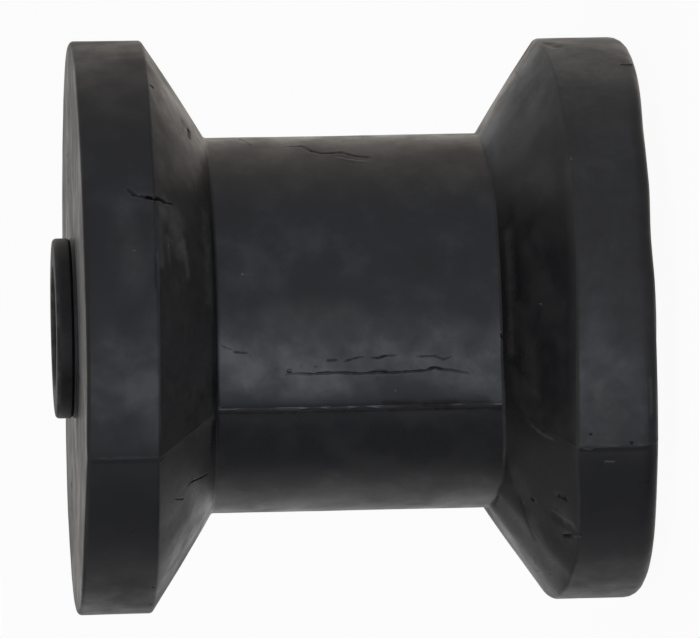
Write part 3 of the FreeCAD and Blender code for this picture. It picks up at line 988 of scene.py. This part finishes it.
print("The hub is", HUB_BLACK, "and the rims are", RIM_GREY)

# %% [markdown]
# ## The rubber's gloss
#
# The keel has polished the hub, so it is smoother and reflects more than the rims. Both change with
# the patches. Scuffs and dirt are dull, whichever way the wear goes, so they take most of the gloss
# away, and so does the painted light and shade that the wear carries. The specular level is linked
# to all of that, and an export to another format drops a linked level, so the socket underneath
# keeps the mean of it.

# %% Polish the rubber
HUB_GLOSS = 0.38
RIM_GLOSS = 0.26
MEAN_GLOSS = 0.3
HUB_ROUGHNESS = 0.29
RIM_ROUGHNESS = 0.38
SKIN_DEPTH = 0.03 * MM

smoothness = add_node(
    tree, "MapRange", {"Value": off_hub, "To Min": HUB_ROUGHNESS, "To Max": RIM_ROUGHNESS}
)
smears = add_node(
    tree,
    "MapRange",
    {"Value": patches, "From Min": 0.3, "From Max": 0.7, "To Min": -0.12, "To Max": 0.12},
)
roughness = add_node(
    tree, "Math", {0: smoothness.outputs["Result"], 1: smears.outputs["Result"]}, operation="ADD"
)
polish = add_node(tree, "MapRange", {"Value": off_hub, "To Min": HUB_GLOSS, "To Max": RIM_GLOSS})
uneven_polish = add_node(
    tree,
    "MapRange",
    {"Value": patches, "From Min": 0.35, "From Max": 0.65, "To Min": 1.35, "To Max": 0.7},
)
marked = add_node(tree, "Math", {0: patchy_wear_and_painted_light.outputs["Value"]}, operation="ABSOLUTE")
dulled = add_node(tree, "MapRange", {"Value": marked.outputs["Value"], "To Min": 1.0, "To Max": 0.2})
clean_gloss = add_node(
    tree, "Math", {0: polish.outputs["Result"], 1: uneven_polish.outputs["Result"]}, operation="MULTIPLY"
)
gloss = add_node(
    tree, "Math", {0: clean_gloss.outputs["Value"], 1: dulled.outputs["Result"]}, operation="MULTIPLY"
)
bumps = add_node(tree, "Bump", {"Height": grain, "Strength": 0.35, "Distance": SKIN_DEPTH})
skin = add_node(
    tree,
    "BsdfPrincipled",
    {
        "Base Color": colour.outputs[2],
        "Roughness": roughness.outputs["Value"],
        "Specular IOR Level": gloss.outputs["Value"],
        "Normal": bumps.outputs["Normal"],
    },
)
skin.inputs["Specular IOR Level"].default_value = MEAN_GLOSS
add_node(tree, "OutputMaterial", {"Surface": skin.outputs["BSDF"]})
rubber.data.materials.append(rubber_material)
print("The rubber's finish has", len(tree.nodes), "nodes")

# %% [markdown]
# ## The bushes' finish
#
# Nylon filled with molybdenum disulphide is a dark grey plastic that slides well without grease.
# The lathe's tool leaves fine rings on its flange, which only show as a change in the gloss, and
# the flange's lip has been scraped pale where it met the bracket. A wave texture with rings about Z
# gives the tool's marks. It counts its waves per twenty turns, which the scale makes up for.

# %% Finish the bushes
NYLON_BLACK = "#141415"
NYLON_SCRAPED = "#3b3a3a"
TOOL_PITCH = 0.3 * MM
TOOL_MARK_DEPTH = 0.02 * MM
SCRAPE_SIZE = 2.5 * MM
WAVE_TURNS = 20
LIP_START = BUSH_HIGH - 0.9 * MM
LIP_END = BUSH_HIGH - 0.2 * MM
NYLON_ROUGHNESS = 0.42
NYLON_GLOSS = 0.28

# Turned nylon: satin, nearly black, with fine rings and a paler lip.
nylon_material, tree = new_material("turned_nylon")
place, from_middle = place_on_piece(tree)
scrapes = add_node(
    tree, "TexNoise", {"Vector": place, "Scale": 1 / SCRAPE_SIZE, "Detail": 4.0, "Roughness": 0.6}
)
at_the_lip = add_node(
    tree, "MapRange", {"Value": from_middle, "From Min": LIP_START, "From Max": LIP_END}
)
scraped = add_node(
    tree,
    "MapRange",
    {
        "Value": scrapes.outputs["Fac"],
        "From Min": 0.48,
        "From Max": 0.62,
        "To Min": 0.15,
        "To Max": at_the_lip.outputs["Result"],
    },
)
nylon_colour = add_node(
    tree, "Mix", {0: scraped.outputs["Result"], 6: linear(NYLON_BLACK), 7: linear(NYLON_SCRAPED)},
    data_type="RGBA",
)
grooves = add_node(
    tree, "TexWave", {"Vector": place, "Scale": math.tau / WAVE_TURNS / TOOL_PITCH},
    wave_type="RINGS", rings_direction="Z",
)
bumps = add_node(
    tree, "Bump", {"Height": grooves.outputs["Fac"], "Strength": 0.5, "Distance": TOOL_MARK_DEPTH}
)
turned_face = add_node(
    tree,
    "BsdfPrincipled",
    {
        "Base Color": nylon_colour.outputs[2],
        "Roughness": NYLON_ROUGHNESS,
        "Specular IOR Level": NYLON_GLOSS,
        "Normal": bumps.outputs["Normal"],
    },
)
add_node(tree, "OutputMaterial", {"Surface": turned_face.outputs["BSDF"]})
for bush in bushes:
    bush.data.materials.append(nylon_material)
print("The tool left a ring every", TOOL_PITCH / MM, "mm")

# %% [markdown]
# ## The floor
#
# A product photograph stands on a sheet of white paper that fills the view. The floor is one large
# square at the roller's lowest point. What the camera sees of it is nearly all its own white, and a
# small share is lit paint, which keeps a trace of the roller's shadow. It doesn't show in the
# roller's gloss, because in the studio the roller lay on its side and dark benches were where this
# floor is.

# %% Lay the floor
FLOOR_REACH = 4.0
WHITE_SHARE = 0.95
PAPER_WHITE = "#ffffff"
PAPER_IN_SHADE = "#e6e6e6"

floor_mesh = bmesh.new()
bmesh.ops.create_grid(floor_mesh, x_segments=1, y_segments=1, size=FLOOR_REACH)
bmesh.ops.translate(floor_mesh, verts=floor_mesh.verts, vec=(0, 0, cad_box[0].z))
floor_data = bpy.data.meshes.new("floor")
floor_mesh.to_mesh(floor_data)
floor_mesh.free()
floor = bpy.data.objects.new("floor", floor_data)
floor.visible_glossy = False
bpy.context.scene.collection.objects.link(floor)


def background_ray(tree, *kinds):
    """The share of a ray that shows the background: 1 for these kinds of ray, 0 for others."""
    ray = add_node(tree, "LightPath")
    share = ray.outputs[kinds[0]]
    for kind in kinds[1:]:
        either = add_node(tree, "Math", {0: share, 1: ray.outputs[kind]}, operation="MAXIMUM")
        share = either.outputs[0]
    return share


# White background paper: matt, and brighter than anything that stands on it.
floor_material, tree = new_material("background_paper")
paint = add_node(tree, "BsdfDiffuse", {"Color": linear(PAPER_IN_SHADE)})
glow = add_node(tree, "Emission", {"Color": linear(PAPER_WHITE), "Strength": 1.0})
share = add_node(
    tree,
    "Math",
    {0: background_ray(tree, "Is Camera Ray", "Is Glossy Ray", "Is Transmission Ray"), 1: WHITE_SHARE},
    operation="MULTIPLY",
)
mixed = add_node(tree, "MixShader", {0: share.outputs[0], 1: paint.outputs[0], 2: glow.outputs[0]})
add_node(tree, "OutputMaterial", {"Surface": mixed.outputs[0]})
floor_data.materials.append(floor_material)
print("The floor lies", round(-cad_box[0].z / MM, 2), "mm under the roller's middle")

# %% [markdown]
# ## The walls of the studio
#
# A black roller shows the room more than itself, so the room is what has to be right. The world
# stands in for it. Its walls are one gradient round the roller: a large soft panel in front and
# low, a plain grey wall above, and dimmer paper behind. Each stop is a bearing in degrees from the
# side that faces the camera, a level and a tint. The picture's blue-grey lights and its warmer
# upper edges give the tints. Lamps could do it too, but their edges would show in the hub.

# %% Draw the walls
PANEL = 2.0
GRADIENT_START = -90
COOL = (0.96, 1.0, 1.12)
WARM = (1.08, 1.0, 0.92)
NEUTRAL = (1.01, 1.0, 1.01)
ROUND_THE_ROLLER = [
    (-90, 0.22, COOL), (-68, 0.22, COOL), (-54, 0.34, COOL), (-50, 0.75, COOL), (-39, 1.85, COOL),
    (-9, 2.0, COOL), (1, 1.0, COOL), (7, 0.8, COOL), (50, 0.76, COOL), (75, 0.6, COOL),
    (115, 0.6, WARM), (140, 0.54, WARM), (157, 0.58, WARM), (166, 0.7, WARM), (178, 0.6, WARM),
    (192, 0.56, NEUTRAL), (252, 0.52, NEUTRAL), (260, 0.22, COOL), (270, 0.22, COOL),
]

world = bpy.data.worlds.new("studio")
world.use_nodes = True
world.cycles.sampling_method = "NONE"
bpy.context.scene.world = world
tree = world.node_tree
tree.nodes.clear()
direction = add_node(tree, "TexCoord")
around = add_node(tree, "TexGradient", {"Vector": direction.outputs["Generated"]}, gradient_type="RADIAL")
walls = add_node(tree, "ValToRGB", {"Fac": around.outputs["Fac"]})
set_stops(
    walls,
    [
        ((bearing - GRADIENT_START) / 360, [level / PANEL * channel for channel in tint] + [1.0])
        for bearing, level, tint in ROUND_THE_ROLLER
    ],
)
print("The walls change at", len(ROUND_THE_ROLLER), "bearings")

# %% [markdown]
# ## The ceiling and the bench
#
# The sloping flanks don't reflect the walls. The lower one shows what is overhead and the upper one
# what is underneath, here along the roller's axis, and both are darker than the walls. How far
# behind the roller a direction points sets the level, and overhead it is darker still on the side
# that was underneath when the roller lay.

# %% Draw the ceiling and the bench
CEILING_ABOVE = [(0.38, 0.55), (0.5, 0.34), (0.66, 0.42), (0.8, 0.5), (0.9, 0.5), (1.0, 0.44)]
CEILING_BELOW = [(0.38, 0.55), (0.5, 0.15), (0.66, 0.17), (0.82, 0.28), (0.94, 0.32), (1.0, 0.36)]
UNDER_THE_BENCH = 0.5
UNDER_IT_BEHIND = 1.5
BEHIND_START = 0.72
BEHIND_END = 0.9
SIDE_REACH = 0.25
CEILING_START, CEILING_END = (math.sin(math.radians(angle)) for angle in (5, 15))
BENCH_START, BENCH_END = (-math.sin(math.radians(angle)) for angle in (8, 45))

heights = add_node(tree, "SeparateXYZ", {"Vector": direction.outputs["Generated"]})
overhead = add_node(
    tree, "MapRange", {"Value": heights.outputs["Z"], "From Min": CEILING_START, "From Max": CEILING_END},
    interpolation_type="SMOOTHSTEP",
)
ceiling_parts = []
for levels in (CEILING_BELOW, CEILING_ABOVE):
    part = add_node(tree, "ValToRGB", {"Fac": heights.outputs["Y"]})
    set_stops(part, [(behind, (level / PANEL,) * 3 + (1.0,)) for behind, level in levels])
    ceiling_parts.append(part.outputs["Color"])
side = add_node(
    tree, "MapRange", {"Value": heights.outputs["X"], "From Min": -SIDE_REACH, "From Max": SIDE_REACH}
)
ceiling = add_node(
    tree, "Mix", {0: side.outputs["Result"], 6: ceiling_parts[0], 7: ceiling_parts[1]}, data_type="RGBA"
)
room = add_node(
    tree, "Mix", {0: overhead.outputs["Result"], 6: walls.outputs["Color"], 7: ceiling.outputs[2]},
    data_type="RGBA",
)
below = add_node(
    tree,
    "MapRange",
    {
        "Value": heights.outputs["Y"],
        "From Min": BEHIND_START,
        "From Max": BEHIND_END,
        "To Min": PANEL * UNDER_THE_BENCH,
        "To Max": PANEL * UNDER_IT_BEHIND,
    },
)
underneath = add_node(
    tree,
    "MapRange",
    {
        "Value": heights.outputs["Z"],
        "From Min": BENCH_START,
        "From Max": BENCH_END,
        "To Min": PANEL,
        "To Max": below.outputs["Result"],
    },
    interpolation_type="SMOOTHSTEP",
)
room_light = add_node(
    tree, "Background", {"Color": room.outputs[2], "Strength": underneath.outputs["Result"]}
)
print("The brightest panel has a level of", PANEL)

# %% [markdown]
# ## The white background
#
# Where the camera looks past the floor it sees white paper, and so would it through glass. The
# gloss of the rubber is the one thing that must still see the room, because the room is all that
# shapes it, and there is no metal here that ought to mirror the paper.

# %% Hang the white background
paper = add_node(tree, "Background", {"Color": linear(PAPER_WHITE), "Strength": 1.0})
sky = add_node(
    tree,
    "MixShader",
    {
        0: background_ray(tree, "Is Camera Ray", "Is Transmission Ray"),
        1: room_light.outputs[0],
        2: paper.outputs[0],
    },
)
add_node(tree, "OutputWorld", {"Surface": sky.outputs[0]})
bpy.context.scene.view_settings.view_transform = "Standard"
print("The studio has", len(tree.nodes), "nodes")
